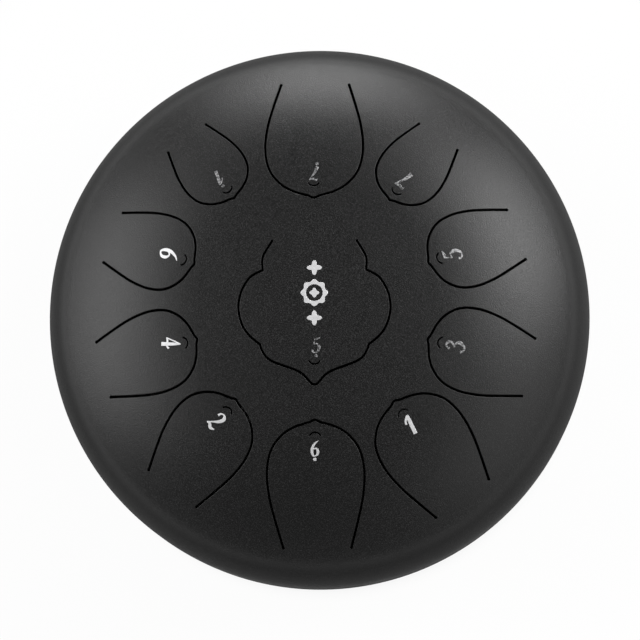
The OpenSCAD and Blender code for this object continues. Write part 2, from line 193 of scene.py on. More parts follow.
# printed silver: the bright one keeps its white pigment, the worn one shows the bare foil in patches
silverFoil = {
    "light": (0.86, 0.86, 0.87), "dull": (0.74, 0.74, 0.75), "metal": 0.5, "roughness": (0.36, 0.5),
    "grain": (2600, 2), "grainBump": (0.1, 0.02 * mm),
    "patch": (700, 2.5, 0.6), "patchBump": (0.15, 0.03 * mm), "start": 0.3, "end": 0.62,
}
wornFoil = {
    **silverFoil,
    "light": (0.62, 0.62, 0.63), "dull": (0.07, 0.07, 0.071), "metal": 0.6, "roughness": (0.26, 0.4),
    "patch": (1500, 2.5, 0.6), "start": 0.41, "end": 0.66,
}


def foilMetal(name, p):
    made, nodes, links, surface = newMaterial(name)
    place = nodes.new("ShaderNodeTexCoord")
    grain = noise(nodes, links, place, *p["grain"])
    patch = noise(nodes, links, place, *p["patch"])
    colour = shade(nodes, links, patch, p["dull"], p["light"], p["start"], p["end"])
    links.new(colour, surface.inputs["Base Color"])
    surface.inputs["Metallic"].default_value = p["metal"]
    links.new(ranged(nodes, links, grain, *p["roughness"]), surface.inputs["Roughness"])
    bumped(nodes, links, [(patch, *p["patchBump"]), (grain, *p["grainBump"])], surface)
    return made


rubber = {
    "dark": (0.014, 0.014, 0.014), "light": (0.026, 0.026, 0.026), "roughness": (0.68, 0.82),
    "grain": (1500, 3), "grainBump": (0.3, 0.04 * mm), "cloud": (125, 3),
}


def rubberMaterial(p):
    made, nodes, links, surface = newMaterial("footRubber")
    place = nodes.new("ShaderNodeTexCoord")
    grain = noise(nodes, links, place, *p["grain"])
    cloud = noise(nodes, links, place, *p["cloud"])
    links.new(shade(nodes, links, cloud, p["dark"], p["light"]), surface.inputs["Base Color"])
    links.new(ranged(nodes, links, grain, *p["roughness"]), surface.inputs["Roughness"])
    bumped(nodes, links, [(grain, *p["grainBump"])], surface)
    return made


zinc = {
    "dark": (0.46, 0.46, 0.45), "light": (0.68, 0.68, 0.69), "metal": 1, "roughness": (0.5, 0.64),
    "grain": (2700, 2), "grainBump": (0.2, 0.02 * mm), "cloud": (300, 3),
}


def zincPlate(p):
    made, nodes, links, surface = newMaterial("zincPlate")
    place = nodes.new("ShaderNodeTexCoord")
    grain = noise(nodes, links, place, *p["grain"])
    cloud = noise(nodes, links, place, *p["cloud"])
    links.new(shade(nodes, links, cloud, p["dark"], p["light"]), surface.inputs["Base Color"])
    surface.inputs["Metallic"].default_value = p["metal"]
    links.new(ranged(nodes, links, cloud, *p["roughness"]), surface.inputs["Roughness"])
    bumped(nodes, links, [(grain, *p["grainBump"])], surface)
    return made


coat = powderCoat(powder)
brightFoil = foilMetal("brightFoil", silverFoil)
patchyFoil = foilMetal("wornFoil", wornFoil)
footRubber = rubberMaterial(rubber)
plating = zincPlate(zinc)
print("materials ready")

mergeGap = 0.0001 * mm           # points nearer than this are one
matchGap = 0.001 * mm            # a point this near to its place is taken to be there
axisGap = 0.000001 * mm          # keeps a point on the axis from dividing by zero


def newPiece(name, bm, material, body, replaced, normalAt=None):
    mesh = bpy.data.meshes.new(name)
    bm.to_mesh(mesh)
    bm.free()
    mesh.polygons.foreach_set("use_smooth", [True] * len(mesh.polygons))
    if normalAt:
        mesh.normals_split_custom_set_from_vertices([normalAt(v.co) for v in mesh.vertices])
    mesh.materials.append(material)
    piece = bpy.data.objects.new(name, mesh)
    scene.collection.objects.link(piece)
    if body:
        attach(piece, body)
    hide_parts(*replaced)
    return piece


def weighted(piece):
    # keeps the wide faces flat beside their rounded edges
    modifier = piece.modifiers.new("flatFaces", "WEIGHTED_NORMAL")
    modifier.weight, modifier.keep_sharp = 50, True


def counted(name, bm):
    print(name, len(bm.faces), "faces,", sum(not e.is_manifold for e in bm.edges), "open edges")


def arc(centre, radius, start, end, steps):
    turns = [radians(start + (end - start) * i / steps) for i in range(steps + 1)]
    return [(centre[0] + radius * cos(t), centre[1] + radius * sin(t)) for t in turns]


def spun(profile, steps, centre=(0, 0), closed=True):
    bm = bmesh.new()
    verts = [bm.verts.new((r, 0, z)) for r, z in profile]
    edges = [bm.edges.new(pair) for pair in zip(verts, verts[1:])]
    if closed:
        edges.append(bm.edges.new((verts[-1], verts[0])))
    bmesh.ops.spin(bm, geom=verts + edges, cent=(0, 0, 0), axis=(0, 0, 1), dvec=(0, 0, 0),
                   angle=2 * pi, steps=steps, use_merge=True)
    bmesh.ops.remove_doubles(bm, verts=bm.verts, dist=mergeGap)
    bmesh.ops.recalc_face_normals(bm, faces=bm.faces)
    bmesh.ops.translate(bm, verts=bm.verts, vec=(*centre, 0))
    return bm


def ring(bm, points, z):
    verts = [bm.verts.new((x, y, z)) for x, y in points]
    return [bm.edges.new((verts[i - 1], v)) for i, v in enumerate(verts)]


# upper shell: one curved plate with slits, and the skirt round it
shell = {
    "radius": 127 * mm,
    "domeRadius": 450 * mm,
    "domeReach": 55 * mm,
    "shoulderRadius": 110 * mm,
    "edgeRadius": 38 * mm,
    "sideTop": 89 * mm,
    "skirtBottom": 77 * mm,
    "wall": 1.5 * mm,
    "plateRadius": 115 * mm,
    "slit": 1.1 * mm,
    "slitEnd": 0.66 * mm,
    "edge": 0.2 * mm,            # rounding of the cut edges
    "edgeSteps": 3,
    "lip": 0.25 * mm,            # rounding of the skirt's lower edge
    "lipSteps": 3,
    "skirtSteps": 26,
    "sideSteps": 4,
    "steps": 288,
    "domeFacet": 4.5 * mm,
    "shoulderFacet": 2.4 * mm,
    "fineFrom": 93 * mm,
    "refinePasses": 14,
    "seamGap": 0.003 * mm,       # plate and skirt are joined within this
    "normalGap": 0.004 * mm,     # a point this near to its arc gets the arc's normal
}
edgeCentre = shell["radius"] - shell["edgeRadius"]
domeLean = asin(shell["domeReach"] / shell["domeRadius"])
shoulderCentre = shell["domeReach"] - shell["shoulderRadius"] * sin(domeLean)
shoulderLean = asin((edgeCentre - shoulderCentre) / (shell["shoulderRadius"] - shell["edgeRadius"]))
shoulderLevel = shell["sideTop"] - (shell["shoulderRadius"] - shell["edgeRadius"]) * cos(shoulderLean)
domeLevel = shoulderLevel - (shell["domeRadius"] - shell["shoulderRadius"]) * cos(domeLean)
# the face is three arcs: distance and height of the centre, radius, lean where the next one takes over
faceArcs = [
    (0, domeLevel, shell["domeRadius"], domeLean),
    (shoulderCentre, shoulderLevel, shell["shoulderRadius"], shoulderLean),
    (edgeCentre, shell["sideTop"], shell["edgeRadius"], pi / 2),
]


def arcAt(r, inset=0):
    for centre, level, radius, lean in faceArcs:
        if r <= centre + (radius - inset) * sin(lean):
            break
    return centre, level, radius - inset


def surfaceHeight(r, inset=0):
    centre, level, radius = arcAt(r, inset)
    return level + sqrt(max(0, radius ** 2 - (r - centre) ** 2))


def surfaceNormal(r):
    centre, level, radius = arcAt(r)
    lean = (r - centre) / radius
    return lean, sqrt(max(0, 1 - lean ** 2))


def lift(bm, wall):
    # flat work, with its depth below zero, is laid on the dome
    for v in bm.verts:
        r = hypot(v.co.x, v.co.y)
        share = -v.co.z / wall
        v.co.z = surfaceHeight(r) * (1 - share) + surfaceHeight(r, wall) * share


def shellNormal(co):
    # true normal on the outer and inner face; other points keep the mesh's own
    near, r = shell["normalGap"], max(hypot(co.x, co.y), axisGap)
    for inset, sign in ((0, 1), (shell["wall"], -1)):
        centre, level, radius = arcAt(r, inset)
        if co.z >= shell["sideTop"] - near and abs(hypot(r - centre, co.z - level) - radius) < near:
            out = sign * (r - centre) / radius / r
            return (out * co.x, out * co.y, sign * (co.z - level) / radius)
    return (0, 0, 0)


# half outlines from nib to root: across as a share of half the width, along of the length
petalShares = [
    (0, 0), (0.04, 0.004), (0.11, 0.018), (0.22, 0.03), (0.42, 0.055), (0.65, 0.108),
    (0.86, 0.2), (0.968, 0.308), (1.005, 0.45), (0.96, 0.62), (0.858, 0.788), (0.708, 1)]
middleTipShares = [
    (0, 0), (0.03, 0.004), (0.07, 0.024), (0.145, 0.068), (0.25, 0.1),
    (0.4, 0.129), (0.55, 0.16), (0.64, 0.196), (0.695, 0.245), (0.713, 0.277)]
middleLobeShares = [
    (0.713, 0.277), (0.855, 0.341), (0.953, 0.42), (1, 0.535),
    (0.964, 0.645), (0.872, 0.732), (0.79, 0.768), (0.68, 0.797)]
middleNeckShares = [(0.68, 0.797), (0.688, 0.85), (0.678, 0.89), (0.647, 0.925), (0.56, 1)]

# nib and side are shares of the drum's radius, angles in degrees, sizes in mm
tongues = {
    "low_5": {"angle": 90, "turn": 0, "nib": -0.298, "side": -0.003, "length": 65.5, "width": 69},
    "low_6": {"angle": -90, "turn": 0.4, "nib": 0.423, "side": 0.002, "length": 56.4, "width": 44},
    "low_7": {"angle": 90, "turn": 0, "nib": 0.376, "side": -0.006, "length": 56.3, "width": 44.6},
    "1": {"angle": -54, "turn": 0, "nib": 0.453, "side": -0.017, "length": 52.4, "width": 42.3},
    "2": {"angle": -126, "turn": -1.8, "nib": 0.449, "side": 0.024, "length": 49, "width": 39.2},
    "3": {"angle": -18, "turn": 4.6, "nib": 0.423, "side": 0.006, "length": 47.2, "width": 38.3},
    "4": {"angle": -162, "turn": -3, "nib": 0.443, "side": 0.005, "length": 45.6, "width": 37.1},
    "5": {"angle": 18, "turn": 2.2, "nib": 0.427, "side": -0.009, "length": 43, "width": 34.6},
    "6": {"angle": 162, "turn": -2.9, "nib": 0.456, "side": -0.002, "length": 41.2, "width": 34.8},
    "7": {"angle": 54, "turn": 1, "nib": 0.454, "side": 0, "length": 38.6, "width": 30.5},
    "high_1": {"angle": 126, "turn": 0.8, "nib": 0.478, "side": -0.014, "length": 37.9, "width": 30.9},
}
outline = {"steps": 6, "rootSteps": 12, "endSteps": 14, "innerEndSteps": 4}
arcSlot = {
    "width": 0.7 * mm, "radius": 2.8 * mm, "halfAngle": 60, "steps": 14, "capSteps": 6,
    "place": 0.1, "middlePlace": 0.14,       # from the nib, as a share of the tongue's length
}


def between(a, b, c, d, t):
    # from b to c, with slopes that look back to a and on to d
    bend, ease = 2 * a - 5 * b + 4 * c - d, 3 * b - a - 3 * c + d
    return (2 * b + (c - a) * t + bend * t ** 2 + ease * t ** 3) / 2


def curve(points, steps):
    # through every point, like a bent spring
    first = [2 * a - b for a, b in zip(points[0], points[1])]
    last = [2 * a - b for a, b in zip(points[-1], points[-2])]
    line = [first, *points, last]
    made = []
    for i in range(len(points) - 1):
        for k in range(steps):
            made.append(tuple(between(*four, k / steps) for four in zip(*line[i:i + 4])))
    return made + [tuple(points[-1])]


def slitLine(name):
    n, t = outline["steps"], tongues[name]
    if name == "low_5":
        tip, lobe, neck = (curve(part, n) for part in (middleTipShares, middleLobeShares, middleNeckShares))
        shares = tip[:-1] + lobe[:-1] + neck
    else:
        shares = curve(petalShares, n)
    return [Vector((x * t["width"] / 2 * mm, y * t["length"] * mm)) for x, y in shares]


def onDrum(name, points):
    t = tongues[name]
    place = Vector((t["side"], t["nib"])) * shell["radius"]
    turn, ahead = Matrix.Rotation(radians(t["turn"]), 2), Matrix.Rotation(radians(t["angle"] - 90), 2)
    return [ahead @ (place + turn @ Vector(p)) for p in points]


def slitLoop(name, side, edge):
    # closed outline along one side of the slit (1 outside, -1 inside) and straight across the root
    line = slitLine(name)
    shift = side * (shell["slit"] / 2 + edge)
    legs = [(b - a).normalized() for a, b in zip(line, line[1:])]
    sides = [Vector((d.y, -d.x)) for d in legs]
    half = [Vector((0, shift / sides[0].y))]
    for i in range(1, len(line) - 1):
        half.append(line[i] + (sides[i - 1] + sides[i]) * shift / (1 + sides[i - 1].dot(sides[i])))
    end, radius = line[-1], shell["slitEnd"] + edge
    meet = sides[-1] * shift - legs[-1] * sqrt(radius ** 2 - shift ** 2)
    start = atan2(meet.y, meet.x)
    if side < 0 and start < 0:
        start += 2 * pi
    steps = outline["endSteps"] if side > 0 else outline["innerEndSteps"]
    for k in range(steps + 1):
        a = start + (pi - start) * k / steps
        half.append(end + radius * Vector((cos(a), sin(a))))
    half[-1].y = end.y
    n = outline["rootSteps"]
    across = [Vector((half[-1].x * (1 - 2 * k / n), end.y)) for k in range(1, n)]
    left = [Vector((-p.x, p.y)) for p in half[:0:-1]]
    return onDrum(name, half + across + left)


def arcSlotPlace(name):
    return arcSlot["middlePlace" if name == "low_5" else "place"] * tongues[name]["length"] * mm


def arcSlotLoop(name, edge):
    a, middle = arcSlot, (0, arcSlotPlace(name) + arcSlot["radius"])
    reach, left, right = a["width"] / 2 + edge, -90 - a["halfAngle"], -90 + a["halfAngle"]
    leftTip, rightTip = (arc(middle, a["radius"], lean, lean, 1)[0] for lean in (left, right))
    points = arc(middle, a["radius"] + reach, left, right, a["steps"])
    points += arc(rightTip, reach, right, right + 180, a["capSteps"])[1:]
    points += arc(middle, a["radius"] - reach, right, left, a["steps"])[1:]
    points += arc(leftTip, reach, left + 180, left + 360, a["capSteps"])[1:-1]
    return onDrum(name, points)


def edgeLevels():
    # (set back from the wall, depth) round the upper edge, down the wall and round the lower edge
    n, e = shell["edgeSteps"], shell["edge"]
    turns = [pi / 2 * i / n for i in range(n + 1)]
    upper = [(e * (1 - sin(t)), e * (1 - cos(t))) for t in turns]
    return upper + [(back, shell["wall"] - depth) for back, depth in reversed(upper)]


def refine(bm):
    # splits long inner edges until the facets are small enough for the curve that they lie on
    for attempt in range(shell["refinePasses"]):
        long = []
        for e in bm.edges:
            middle = (e.verts[0].co + e.verts[1].co) / 2
            limit = shell["shoulderFacet" if hypot(middle.x, middle.y) > shell["fineFrom"] else "domeFacet"]
            if not e.is_boundary and e.calc_length() > limit:
                long.append(e)
        if not long:
            break
        bmesh.ops.subdivide_edges(bm, edges=long, cuts=1)
        bmesh.ops.triangulate(bm, faces=bm.faces)
        bmesh.ops.beautify_fill(bm, faces=bm.faces, edges=[e for e in bm.edges if not e.is_boundary])


def plate(loops, rimEdges):
    # top face with holes, its rounded rims, and the same face again underneath
    bm = bmesh.new()
    levels = edgeLevels()
    edges = []
    for loop in loops:
        edges += ring(bm, loop(levels[0][0]), 0)
    if rimEdges:
        edges += rimEdges(bm)
    bmesh.ops.triangle_fill(bm, use_beauty=True, edges=edges, normal=(0, 0, 1))
    refine(bm)
    copy = bmesh.ops.duplicate(bm, geom=bm.verts[:] + bm.edges[:] + bm.faces[:])["geom"]
    below = [g for g in copy if isinstance(g, bmesh.types.BMVert)]
    bmesh.ops.translate(bm, verts=below, vec=(0, 0, -shell["wall"]))
    bmesh.ops.reverse_faces(bm, faces=[g for g in copy if isinstance(g, bmesh.types.BMFace)])
    for loop in loops:
        rings = [ring(bm, loop(back), -depth) for back, depth in levels]
        for upper, lower in zip(rings, rings[1:]):
            bmesh.ops.bridge_loops(bm, edges=upper + lower)
    bmesh.ops.remove_doubles(bm, verts=bm.verts, dist=mergeGap)
    lift(bm, shell["wall"])
    return bm


def shellRim(bm):
    radius = shell["plateRadius"]
    start = bm.verts.new((radius, 0, 0))
    bmesh.ops.spin(bm, geom=[start], cent=(0, 0, 0), axis=(0, 0, 1), dvec=(0, 0, 0),
                   angle=2 * pi, steps=shell["steps"], use_merge=True)
    return [e for e in bm.edges if abs(hypot(*e.verts[0].co.xy) - radius) < matchGap]


def plateLean(radius):
    # where the plate ends on an arc round the edge's centre, in degrees off the horizontal
    return 90 - degrees(asin((shell["plateRadius"] - edgeCentre) / radius))


def skirtProfile():
    s, centre = shell, (edgeCentre, shell["sideTop"])
    outer, inner, lip = s["edgeRadius"], s["edgeRadius"] - s["wall"], s["lip"]
    profile = arc(centre, outer, plateLean(outer), 0, s["skirtSteps"])
    profile += [(s["radius"], s["sideTop"] - s["shoulderFacet"] * (k + 1)) for k in range(s["sideSteps"])]
    profile += arc((s["radius"] - lip, s["skirtBottom"] + lip), lip, 0, -90, s["lipSteps"])
    profile += [(s["radius"] - s["wall"], s["skirtBottom"])]
    return profile + arc(centre, inner, 0, plateLean(inner), s["skirtSteps"])


def makeUpperShell():
    bm = plate([lambda edge, n=name: slitLoop(n, 1, edge) for name in tongues], shellRim)
    skirt = spun(skirtProfile(), shell["steps"], closed=False)
    mesh = bpy.data.meshes.new("skirt")
    skirt.to_mesh(mesh)
    skirt.free()
    bm.from_mesh(mesh)
    bpy.data.meshes.remove(mesh)
    bmesh.ops.remove_doubles(bm, verts=bm.verts, dist=shell["seamGap"])
    bmesh.ops.recalc_face_normals(bm, faces=bm.faces)
    counted("upperShell", bm)
    newPiece("upperShell", bm, coat, "drum", ["upper_shell"], shellNormal)


def makeTongue(name):
    bm = plate([lambda edge: slitLoop(name, -1, edge), lambda edge: arcSlotLoop(name, edge)], None)
    bmesh.ops.recalc_face_normals(bm, faces=bm.faces)
    node = "tongue_" + name
    counted(node, bm)
    piece = newPiece(node + ".coated", bm, coat, None, [node], shellNormal)
    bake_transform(piece)


makeUpperShell()
for name in tongues:
    makeTongue(name)
print("shell and tongues ready")

# bright metal numerals, each of a few strokes: across, up and width as shares of the height
digits = {
    1: [[(0.42, 0.98, 0.1), (0.38, 0.8, 0.17), (0.31, 0.45, 0.19), (0.24, 0.02, 0.2)],
        [(0.42, 0.98, 0.06), (0.3, 0.89, 0.09), (0.17, 0.76, 0.1), (0.12, 0.62, 0.1)]],
    2: [[(0.12, 0.72, 0.12), (0.14, 0.87, 0.09), (0.29, 0.96, 0.08), (0.45, 0.84, 0.17),
         (0.41, 0.6, 0.16), (0.24, 0.36, 0.08), (0.04, 0.1, 0.05)],
        [(0.04, 0.1, 0.05), (0.2, 0.15, 0.13), (0.38, 0.06, 0.15), (0.57, 0.16, 0.05)]],
    3: [[(0.11, 0.76, 0.12), (0.15, 0.9, 0.08), (0.31, 0.96, 0.09), (0.44, 0.82, 0.16),
         (0.37, 0.64, 0.09), (0.22, 0.55, 0.05)],
        [(0.22, 0.55, 0.05), (0.42, 0.51, 0.09), (0.5, 0.31, 0.18), (0.35, 0.07, 0.1),
         (0.14, 0.08, 0.08), (0.07, 0.22, 0.12)]],
    4: [[(0.45, 0.98, 0.06), (0.42, 0.75, 0.13), (0.38, 0.4, 0.17), (0.33, 0.02, 0.19)],
        [(0.44, 0.97, 0.05), (0.26, 0.66, 0.06), (0.06, 0.31, 0.06)],
        [(0.04, 0.31, 0.05), (0.22, 0.34, 0.1), (0.44, 0.28, 0.08), (0.6, 0.37, 0.1)]],
    5: [[(0.22, 0.94, 0.05), (0.34, 0.91, 0.13), (0.48, 0.95, 0.1), (0.57, 1, 0.04)],
        [(0.23, 0.96, 0.06), (0.2, 0.75, 0.06), (0.16, 0.55, 0.05)],
        [(0.16, 0.55, 0.05), (0.34, 0.61, 0.08), (0.49, 0.42, 0.17), (0.42, 0.14, 0.13),
         (0.23, 0.04, 0.08), (0.08, 0.12, 0.1), (0.08, 0.24, 0.13)]],
    6: [[(0.54, 0.98, 0.03), (0.34, 0.84, 0.1), (0.17, 0.58, 0.16), (0.13, 0.3, 0.17),
         (0.21, 0.08, 0.11), (0.34, 0.05, 0.08)],
        [(0.34, 0.05, 0.08), (0.48, 0.18, 0.14), (0.49, 0.38, 0.15), (0.36, 0.52, 0.08),
         (0.21, 0.45, 0.06), (0.13, 0.32, 0.05)]],
    7: [[(0.05, 0.78, 0.04), (0.13, 0.91, 0.12), (0.3, 0.86, 0.13), (0.46, 0.92, 0.09), (0.56, 0.97, 0.05)],
        [(0.55, 0.97, 0.05), (0.42, 0.68, 0.09), (0.3, 0.36, 0.15), (0.24, 0.02, 0.22)]],
}
numeral = {
    "plain": 9.2 * mm, "dotted": 7.3 * mm, "middle": 7.2 * mm,
    "centre": 0.3,                           # middle of the strokes, as a share of the height
    "dot": 0.75 * mm, "dotSteps": 24, "dotGap": 0.3 * mm,
    "gap": 3.2 * mm,                         # from the arc slot to the numeral or its dot
    "thick": 0.18 * mm, "bevel": 0.1 * mm, "bevelSteps": 2, "steps": 6,
}
# turned to the left in degrees, moved across and out as shares of a plain numeral
notes = {
    "low_5": {"digit": 5, "octave": -1, "turn": 0, "move": (0.084, -0.015), "worn": True},
    "low_6": {"digit": 6, "octave": -1, "turn": 0, "move": (0.025, 0.049), "worn": False},
    "low_7": {"digit": 7, "octave": -1, "turn": -12, "move": (0.05, -0.119), "worn": True},
    "1": {"digit": 1, "octave": 0, "turn": 0, "move": (0.012, -0.009), "worn": False},
    "2": {"digit": 2, "octave": 0, "turn": -18, "move": (0.127, 0.03), "worn": False},
    "3": {"digit": 3, "octave": 0, "turn": 0, "move": (-0.01, 0.043), "worn": True},
    "4": {"digit": 4, "octave": 0, "turn": -10, "move": (0.225, -0.04), "worn": False},
    "5": {"digit": 5, "octave": 0, "turn": -8, "move": (0.038, -0.04), "worn": True},
    "6": {"digit": 6, "octave": 0, "turn": 5, "move": (0.06, 0.092), "worn": False},
    "7": {"digit": 7, "octave": 0, "turn": -6, "move": (0, 0), "worn": True},
    "high_1": {"digit": 1, "octave": 1, "turn": -8, "move": (0, 0), "worn": True},
}


def strokeOutline(shares, height):
    line = curve(shares, numeral["steps"])
    left, right = [], []
    for i, (x, y, width) in enumerate(line):
        before, after = line[max(i - 1, 0)], line[min(i + 1, len(line) - 1)]
        side = Vector((before[1] - after[1], after[0] - before[0])).normalized() * width / 2
        left.append((Vector((x - numeral["centre"], y)) + side) * height)
        right.append((Vector((x - numeral["centre"], y)) - side) * height)
    return left + right[::-1]


def pulledUp(bm, faces):
    # flat faces become a plate of foil with a bevelled upper rim
    up = bmesh.ops.extrude_face_region(bm, geom=faces)["geom"]
    tops = [g for g in up if isinstance(g, bmesh.types.BMVert)]
    bmesh.ops.translate(bm, verts=tops, vec=(0, 0, numeral["thick"]))
    bmesh.ops.recalc_face_normals(bm, faces=bm.faces)
    upper = set(tops)
    sides = {f for f in bm.faces if any(v not in upper for v in f.verts)}
    rim = [e for e in bm.edges if upper.issuperset(e.verts) and not sides.isdisjoint(e.link_faces)]
    bmesh.ops.bevel(bm, geom=rim, offset=numeral["bevel"], affect="EDGES", segments=numeral["bevelSteps"],
                    profile=0.5, material=-1, offset_type="OFFSET", clamp_overlap=True)
    return bm


def raised(points):
    bm = bmesh.new()
    face = bm.faces.new([bm.verts.new((x, y, 0)) for x, y in points])
    bm.normal_update()
    if face.normal.z > 0:
        face.normal_flip()
    return pulledUp(bm, [face])


def unionOf(plates):
    made = []
    for bm in plates:
        mesh = bpy.data.meshes.new("stroke")
        bm.to_mesh(mesh)
        bm.free()
        made.append(bpy.data.objects.new("stroke", mesh))
        scene.collection.objects.link(made[-1])
    for other in made[1:]:
        modifier = made[0].modifiers.new("join", "BOOLEAN")
        modifier.operation, modifier.solver, modifier.object = "UNION", "EXACT", other
    whole = bpy.data.meshes.new_from_object(made[0].evaluated_get(bpy.context.evaluated_depsgraph_get()))
    bm = bmesh.new()
    bm.from_mesh(whole)
    bpy.data.meshes.remove(whole)
    for o in made:
        bpy.data.meshes.remove(o.data)
    bmesh.ops.remove_doubles(bm, verts=bm.verts, dist=matchGap)
    return bm


def foilNormal(co):
    # true normal on the upper face; other points keep the mesh's own
    r = hypot(co.x, co.y)
    if abs(co.z - surfaceHeight(r) - numeral["thick"]) > matchGap or r < matchGap:
        return (0, 0, 0)
    out, up = surfaceNormal(r)
    return (co.x / r * out, co.y / r * out, up)


def layFoil(name, bm, foil, turned, place, pieceName, node):
    # put at its place on the tongue, then on the dome's curve
    for v in bm.verts:
        x, y = (-v.co.x, -v.co.y) if turned else (v.co.x, v.co.y)
        v.co.x, v.co.y = onDrum(name, [(x + place[0], y + place[1])])[0]
    for v in bm.verts:
        v.co.z += surfaceHeight(hypot(v.co.x, v.co.y))
    counted(pieceName, bm)
    newPiece(pieceName, bm, foil, "note_" + name, [node], foilNormal)


def makeNumeral(name):
    n, note = numeral, notes[name]
    octave, middle = note["octave"], name == "low_5"
    height = n["middle" if middle else "dotted" if octave else "plain"]
    plates = [raised(strokeOutline(shares, height)) for shares in digits[note["digit"]]]
    if octave:
        place = -n["dotGap"] - n["dot"] if octave < 0 else height + n["dotGap"] + n["dot"]
        step = 360 / n["dotSteps"]
        plates.append(raised(arc((0, place), n["dot"], 0, 360 - step, n["dotSteps"] - 1)))
    bm = unionOf(plates)
    turn = Matrix.Rotation(radians(note["turn"]), 3, "Z")
    bmesh.ops.rotate(bm, verts=bm.verts, cent=(0, height / 2, 0), matrix=turn)
    dotSpace = n["dotGap"] + 2 * n["dot"]
    base = arcSlotPlace(name) + n["gap"]
    base += dotSpace if middle else height + max(octave, 0) * dotSpace
    place = (note["move"][0] * n["plain"], note["move"][1] * n["plain"] + base)
    foil = patchyFoil if note["worn"] else brightFoil
    layFoil(name, bm, foil, not middle, place, "numeral_" + name + ".foil", "numeral_" + name)


ornament = {
    "place": 0.635, "rosette": 6.2 * mm, "star": 3.4 * mm, "pitch": 11.5 * mm,
    "petals": 8, "points": 4, "petalDepth": 0.16, "starDepth": 0.34, "ring": 0.62, "core": 0.36,
}


def petalled(radius, petals, depth, up=0, steps=96):
    made = []
    for i in range(steps):
        a = 2 * pi * i / steps
        r = radius * (1 - depth * (1 - cos(petals * a)) / 2)
        made.append((r * sin(a), r * cos(a) + up))
    return made


def makeOrnament():
    o = ornament
    bm = bmesh.new()
    outer = ring(bm, petalled(o["rosette"], o["petals"], o["petalDepth"]), 0)
    inner = ring(bm, petalled(o["ring"] * o["rosette"], o["petals"], 0), 0)
    bmesh.ops.bridge_loops(bm, edges=outer + inner)
    plates = [pulledUp(bm, bm.faces[:])]
    plates.append(raised(petalled(o["core"] * o["rosette"], o["points"], o["starDepth"])))
    for side in (-1, 1):
        star = petalled(o["star"], o["points"], o["starDepth"] + o["petalDepth"], side * o["pitch"])
        plates.append(raised(star))
    place = (0, o["place"] * tongues["low_5"]["length"] * mm)
    layFoil("low_5", unionOf(plates), brightFoil, False, place, "ornament.foil", "middle_ornament")


for name in notes:
    makeNumeral(name)
makeOrnament()
print("numerals ready")


# lower shell: spun sheet with a flat base, a lip inside the skirt and a turned-in collar at the sound hole
bowl = {
    "radius": 127 * mm, "cornerRadius": 60 * mm, "cornerSteps": 40, "wall": 1.2 * mm, "bottom": 9 * mm,
    "sideTop": 76 * mm, "rim": 0.3 * mm, "rimMiddle": 0.1 * mm,      # the side's rounded upper corner
    "step": 1.5 * mm,                # the inner wall slopes in over this height, to stand inside the skirt
    "lipOuter": 125.4 * mm, "lipTop": 85 * mm, "lipEdge": 0.2 * mm,
    "hole": 30 * mm, "collarTop": 13 * mm, "tipSteps": 6,
    "collarBend": 1 * mm, "insideSteps": 6, "outsideSteps": 8, "steps": 288,
}


def makeLowerShell():
    b = bowl
    wall, bend, edge, tip = b["wall"], b["collarBend"], b["lipEdge"], b["wall"] / 2
    corner = (b["radius"] - b["cornerRadius"], b["bottom"] + b["cornerRadius"])
    collar = (b["hole"] + wall + bend, b["bottom"] + wall + bend)
    profile = arc(corner, b["cornerRadius"], -90, 0, b["cornerSteps"])
    profile += [
        (b["radius"], b["sideTop"] - b["rim"]),
        (b["radius"] - b["rimMiddle"], b["sideTop"] - b["rimMiddle"]),
        (b["radius"] - b["rim"], b["sideTop"]),
        (b["lipOuter"], b["sideTop"]),
        (b["lipOuter"], b["lipTop"] - edge),
        (b["lipOuter"] - edge, b["lipTop"]),
        (b["lipOuter"] - wall + edge, b["lipTop"]),
        (b["lipOuter"] - wall, b["lipTop"] - edge),
        (b["lipOuter"] - wall, b["sideTop"] - wall / 2),
        (b["radius"] - wall, b["sideTop"] - wall - b["step"]),
    ]
    profile += arc(corner, b["cornerRadius"] - wall, 0, -90, b["cornerSteps"])
    profile += arc(collar, bend, -90, -180, b["insideSteps"])
    profile += arc((b["hole"] + tip, b["collarTop"] - tip), tip, 0, 180, b["tipSteps"])
    profile += arc(collar, bend + wall, -180, -90, b["outsideSteps"])
    bm = spun(profile, b["steps"])
    weighted(newPiece("lowerShell", bm, coat, "drum", ["lower_shell"]))


weld = {
    "radius": 126.8 * mm, "inner": 125.4 * mm, "bottom": 76 * mm, "height": 1 * mm,
    "crown": 0.15 * mm, "crownSteps": 6,
}


def makeWeld():
    w, steps = weld, weld["crownSteps"]
    base = w["radius"] - w["crown"]
    profile = [(base + w["crown"] * sin(pi * k / steps), w["bottom"] + w["height"] * k / steps)
               for k in range(steps + 1)]
    profile += [(w["inner"], w["bottom"] + w["height"]), (w["inner"], w["bottom"])]
    newPiece("seamWeld", spun(profile, bowl["steps"]), coat, "drum", ["seam_weld"])


foot = {
    "circle": 54 * mm, "height": 9 * mm, "radius": 9 * mm, "steps": 64,
    "flare": 1 * mm, "flareEdge": 0.3 * mm, "flareSide": 0.1 * mm, "flareDrop": 0.2 * mm,
    "rounding": 0.8 * mm, "roundSteps": 6, "bore": 2.2 * mm,
    "recess": 4.9 * mm, "recessDepth": 4.6 * mm, "recessEdge": 0.3 * mm, "recessSteps": 4,
    "places": {                      # degrees from +X
        "foot_front_right": -45, "foot_back_right": 45, "foot_back_left": 135, "foot_front_left": -135,
    },
}


